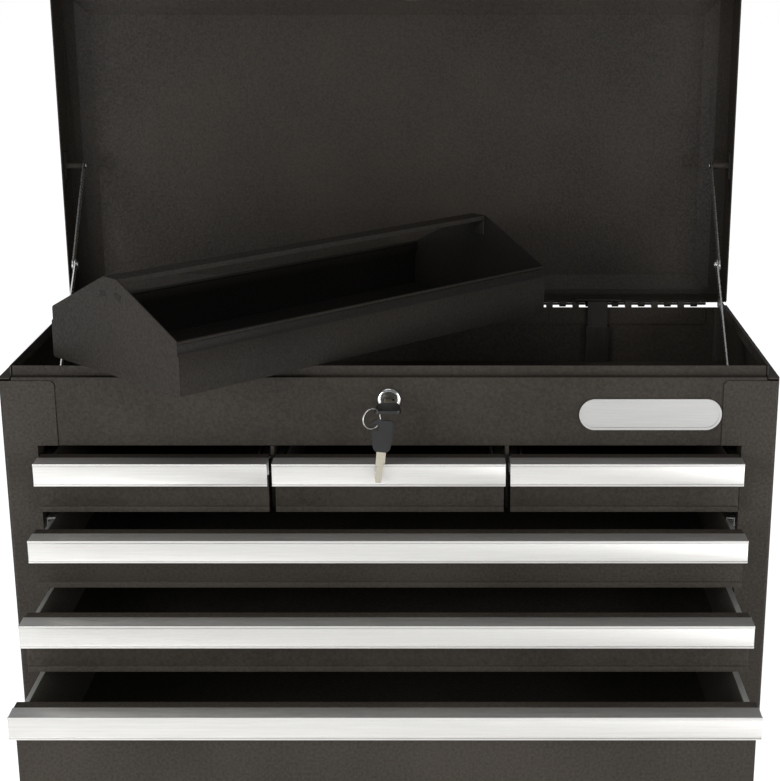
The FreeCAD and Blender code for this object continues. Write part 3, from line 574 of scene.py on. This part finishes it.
# The faces inside the tray take the near-black paint, which is painted shade.
for name in ("tray_trough", "tray_end_left", "tray_end_right"):
    print(name, "inside faces", line_inside(eased(name, tray_edge), inside_tray, tray_inside_painted_shade))
eased("tray_ridge", tray_edge)

# %% [markdown]
# The ridge handle is held by a bent tab at each side of its end, pushed through a slot in the gable. The
# tabs show as two small dark dashes on the outside of the near gable and on the inside of the far one. Each
# is a small block that stands through the sheet, leaning with the ridge's side.

# %% Tabs through the gables
def block(name, size, place):
    """A cube scaled to a size, with the scale in its mesh."""
    pick_none()
    bpy.ops.mesh.primitive_cube_add(size=1, location=place)
    piece = bpy.context.object
    piece.name = name
    piece.scale = size
    return set_down(piece)


tab_size = (0.0018, 0.0085, 0.0052)
tab_out = tray_half_length + 0.0002
tab_side = 0.0105
tab_rise = 0.0675
tab_lean = math.radians(12)
for end, end_name in ((-1, "near"), (1, "far")):
    for hand, hand_name in ((-1, "a"), (1, "b")):
        tab = block("tray_tab_" + end_name + "_" + hand_name, tab_size, (0, 0, 0))
        leaning = Matrix.Rotation(-hand * tab_lean, 4, "X")
        tab.data.transform(leaning)
        tab.data.transform(tray_lay @ Matrix.Translation((end * tab_out, hand * tab_side, tab_rise)))
        round_edges(tab, fitting_edge)
        # The tabs take the tray's near-black inside paint, so their dark dashes are painted shade.
        tab.data.materials.append(tray_inside_painted_shade)
        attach(tab, "carry_tray")

# %% [markdown]
# ## Keys on their ring
# A key of this kind is a stamped nickel-silver blade with a moulded black bow. Each bow is a copy of the
# solid key, cut off where its blade starts, drawn in towards the blade and rounded all over. It is turned
# upright for that, with the blade's start at z = 0, and laid back where it was.

# %% Moulded bow
bow_edge = 0.0005
bow_foot_share = 0.7          # the bow's width where it meets the blade


def key_bow(name, solid, lay, height):
    """A moulded bow from z = 0 up to its height, cut from the solid key and narrower at the blade."""
    bow = copied(solid)
    bow.name = name
    merge_faces(bow)
    bow.data.transform(lay.inverted())
    pick(bow)
    bpy.ops.object.mode_set(mode="EDIT")
    bpy.ops.mesh.select_all(action="SELECT")
    bpy.ops.mesh.bisect(plane_co=(0, 0, 0), plane_no=(0, 0, -1), use_fill=True, clear_outer=True)
    bpy.ops.object.mode_set(mode="OBJECT")
    bow.data.validate()       # drops the faces that the fill made twice
    for vertex in bow.data.vertices:
        vertex.co.x *= bow_foot_share + (1 - bow_foot_share) * vertex.co.z / height
    round_edges(bow, bow_edge, segments=3)
    bow.data.transform(lay)
    return bow


# %% [markdown]
# The blade is a thin plate with a shoulder, a groove along one face and a row of bitting cut into one edge.
# A key cutter takes these out of a blank with a wheel, so here they are cut out of a blank as well, each
# with a block. All their sizes are shares of the blank's, because the two keys differ a little in size.

# %% Blade cut from a blank
neck = 0.36                   # shares of the blade's length, from the bow down
groove_length, groove_middle = 0.7, 0.6
notch_start, notch_pitch, notch_height = 0.8, 0.11, 0.07
tip_from = 0.99
shoulder_cut = 0.86           # shares of its width
groove_width, groove_side = 0.12, 0.08
notch_width = 0.3
tip_width = 0.7
cutter_depth = 3              # shares of its thickness
groove_level = 0.78
blade_edge = 0.12


def cut_away(piece, name, size, place, lay=Matrix()):
    """Take a block out of a piece, laid where the cut goes."""
    cutter = block(name, size, place)
    cutter.data.transform(lay)
    cut = piece.modifiers.new("cut", "BOOLEAN")
    cut.operation = "DIFFERENCE"
    cut.solver = "EXACT"
    cut.object = cutter
    pick(piece)
    bpy.ops.object.modifier_apply(modifier=cut.name)
    bpy.data.objects.remove(cutter)


def key_blade(name, width, length, thick, cuts):
    """A steel blade from z = 0 down, with a shoulder, a groove and bitting on its left edge."""
    blade = block(name, (width, thick, length), (0, 0, -length / 2))
    cut_away(blade, "shoulder", (width, thick * cutter_depth, length),
             (width * shoulder_cut, 0, -length * neck - length / 2))
    cut_away(blade, "groove", (width * groove_width, thick, length * groove_length),
             (width * groove_side, -thick * groove_level, -length * groove_middle))
    for index, depth in enumerate(cuts):
        level = -length * neck - (index + notch_start) * length * notch_pitch
        lay = (Matrix.Translation((-width / 2, 0, level)) @ Matrix.Rotation(math.radians(45), 4, "Y")
               @ Matrix.Scale(depth, 4))
        cut_away(blade, "notch", (width * notch_width, thick * cutter_depth, length * notch_height),
                 (0, 0, 0), lay)
    for vertex in blade.data.vertices:
        if vertex.co.z < -length * tip_from:
            vertex.co.x *= tip_width
    round_edges(blade, thick * blade_edge, soft_angle=30, hard_angle=40)
    return blade


# %% [markdown]
# The spare key hangs from the ring by the hole in its bow, a little to one side of the ring's lowest point
# and tilted. The other key stands in the lock with its bow lying flat. Both lays are worked out from the
# frame's own boxes, so the bows and blades meet the solids that they stand for.

# %% Spare key hanging on the ring
def give(piece, finish, body):
    """One finish and the body that carries the piece."""
    piece.data.materials.clear()
    piece.data.materials.append(finish)
    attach(piece, body)


def finish_key(bow, blade, solid):
    """Give a bow and its blade their finishes, and let both stand for the solid key."""
    give(bow, key_black, "keys")
    give(blade, key_steel, "keys")
    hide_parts(solid)
    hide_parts(solid)


ring_low, ring_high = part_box("key_ring")
ring_centre = (ring_low + ring_high) / 2
ring_radius = 0.0085
ring_turn = math.radians(36)
ring_side = Vector((math.cos(ring_turn), math.sin(ring_turn), 0))
spare_angle = math.radians(25)          # from the ring's lowest point
spare_tilt = math.radians(5)
spare_height = 0.0275
spare_hole_side = -0.0064
spare_hole_drop = 0.0065                # from the top of the bow
spare_hole = Vector((spare_hole_side, 0, spare_height - spare_hole_drop))
spare_arm = ring_side * math.sin(spare_angle) - Vector((0, 0, math.cos(spare_angle)))
spare_lay = (Matrix.Translation(ring_centre + spare_arm * ring_radius) @ Matrix.Rotation(spare_tilt, 4, "Y")
             @ Matrix.Translation(-spare_hole))
spare_blade = key_blade("spare_key_blade", width=0.0078, length=0.0268, thick=0.0014,
                        cuts=(1.0, 0.7, 1.1, 0.8))
spare_blade.data.transform(spare_lay)
spare_bow = key_bow("spare_key_bow", "spare_key", spare_lay, spare_height)
finish_key(spare_bow, spare_blade, "spare_key")
print("spare key's bow", len(spare_bow.data.polygons), "faces")

# %% Key standing in the lock, lying flat
bow_length = 0.027
key_low, key_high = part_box("lock_key")
key_middle = (key_low + key_high) / 2
flat_lay = (Matrix.Translation((key_middle.x, key_low.y + bow_length, key_middle.z))
            @ Matrix.Rotation(math.radians(90), 4, "X"))
lock_blade = key_blade("lock_key_blade", width=0.0084, length=key_high.y - key_low.y - bow_length,
                       thick=0.0017, cuts=(0.9, 1.1, 0.7, 1.0))
lock_blade.data.transform(flat_lay)
lock_bow = key_bow("lock_key_bow", "lock_key", flat_lay, bow_length)
finish_key(lock_bow, lock_blade, "lock_key")
print("lock key", [round(v, 4) for v in key_low], [round(v, 4) for v in key_high])

# %% [markdown]
# A split ring is spring wire wound twice round, so its two turns lie side by side. A small circle beside
# the axis is carried round by a screw for two turns, with a pitch of one wire.

# %% Split ring
wire_radius = 0.00032
wire_sides = 10
ring_turns = 2
ring_steps = 128
pick_none()
bpy.ops.mesh.primitive_circle_add(vertices=wire_sides, radius=wire_radius, location=(ring_radius, 0, 0),
                                  rotation=(math.radians(90), 0, 0))
split_ring = bpy.context.object
split_ring.name = "split_ring"
set_down(split_ring)
winding = split_ring.modifiers.new("two turns", "SCREW")
winding.axis = "Z"
winding.angle = math.radians(360 * ring_turns)
winding.screw_offset = 2 * ring_turns * wire_radius
winding.steps = ring_steps
winding.render_steps = ring_steps
pick(split_ring)
bpy.ops.object.modifier_apply(modifier=winding.name)
print("ring faces", len(split_ring.data.polygons))

# %% Close the wire's ends and hang the ring
bpy.ops.object.mode_set(mode="EDIT")
bpy.ops.mesh.select_all(action="DESELECT")
bpy.ops.mesh.select_non_manifold()
bpy.ops.mesh.edge_face_add()
bpy.ops.mesh.select_all(action="SELECT")
bpy.ops.mesh.normals_make_consistent(inside=False)
bpy.ops.object.mode_set(mode="OBJECT")
bpy.ops.object.shade_smooth_by_angle(angle=math.radians(50))
upright = Matrix.Rotation(math.radians(90), 4, "X")
split_ring.data.transform(Matrix.Translation(ring_centre) @ Matrix.Rotation(ring_turn, 4, "Z") @ upright
                          @ Matrix.Translation((0, 0, -ring_turns * wire_radius)))
give(split_ring, bright_steel, "keys")
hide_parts("key_ring")

# %% [markdown]
# ## Rivets on the folding stays
# The stays turn on shouldered rivets with low domed heads, which show as bright dots. Each head is a
# short cylinder whose rim is rounded by a wide bevel.

# %% Domed rivet head
rivet_radius = 0.0031
rivet_sides = 32
dome_share = 0.8              # of the head's height


def rivet(name, place, facing, height, body):
    """A domed head that stands on a point and faces along X, or against it."""
    pick_none()
    middle = Vector(place) + Vector((facing * height / 2, 0, 0))
    bpy.ops.mesh.primitive_cylinder_add(vertices=rivet_sides, radius=rivet_radius, depth=height,
                                        location=middle, rotation=(0, math.radians(90), 0))
    head = bpy.context.object
    head.name = name
    set_down(head)
    round_edges(head, height * dome_share, segments=4)
    give(head, bright_steel, body)


# %% A rivet at each foot, knee and head
stay_end_radius = 0.004
knee_radius = 0.0055
low_head = 0.0006
tall_head = 0.0008
for side, facing in (("left", 1), ("right", -1)):
    inner = int(facing > 0)   # which corner of a box is nearer to the chest's middle
    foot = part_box("stay_foot_" + side)
    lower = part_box("stay_lower_" + side)
    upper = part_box("stay_upper_" + side)
    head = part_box("stay_head_" + side)
    foot_middle = (foot[0] + foot[1]) / 2
    knee_place = (lower[inner].x, lower[1].y - knee_radius, lower[1].z - knee_radius)
    head_place = (head[inner].x, upper[1].y - stay_end_radius, upper[1].z - stay_end_radius)
    rivet("foot_rivet_" + side, (foot[inner].x, foot_middle.y, foot_middle.z), facing, low_head, "chest")
    rivet("knee_rivet_" + side, knee_place, facing, tall_head, "stay_lower_" + side)
    rivet("head_rivet_" + side, head_place, facing, low_head, "lid")
